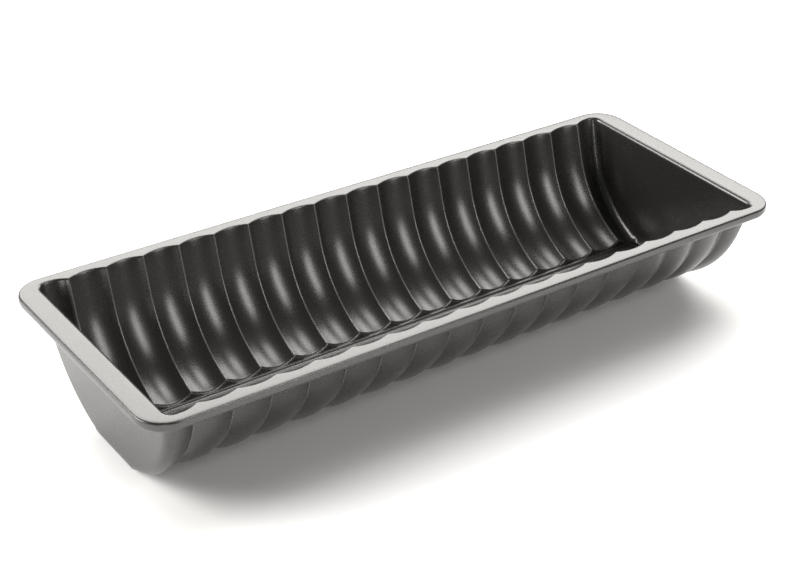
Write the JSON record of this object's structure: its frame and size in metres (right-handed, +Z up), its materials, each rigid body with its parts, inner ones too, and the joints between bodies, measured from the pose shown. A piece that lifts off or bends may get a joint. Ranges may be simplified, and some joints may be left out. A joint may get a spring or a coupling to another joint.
{
  "type": "fluted loaf pan",
  "caption": "Long half-round loaf mould of dark coated sheet steel, with cross-wise flutes, a flat bottom strip, flat end walls and a flange with a rolled edge, for saddle-shaped cakes.",
  "frame": {"origin": "middle of the pan's outline, on the underside of the flat bottom strip that it stands on", "axes": "+X along the pan, +Y across it, +Z up out of the opening"},
  "size_m": [0.305, 0.117, 0.0506],
  "materials": {
    "coated_steel": "dark warm grey satin non-stick coating with a very fine speckle",
    "steel_wire": "plain drawn wire"
  },
  "bodies": {
    "root": {"pan_body": "coated_steel", "rim_wire": "steel_wire"}
  },
  "joints": []
}
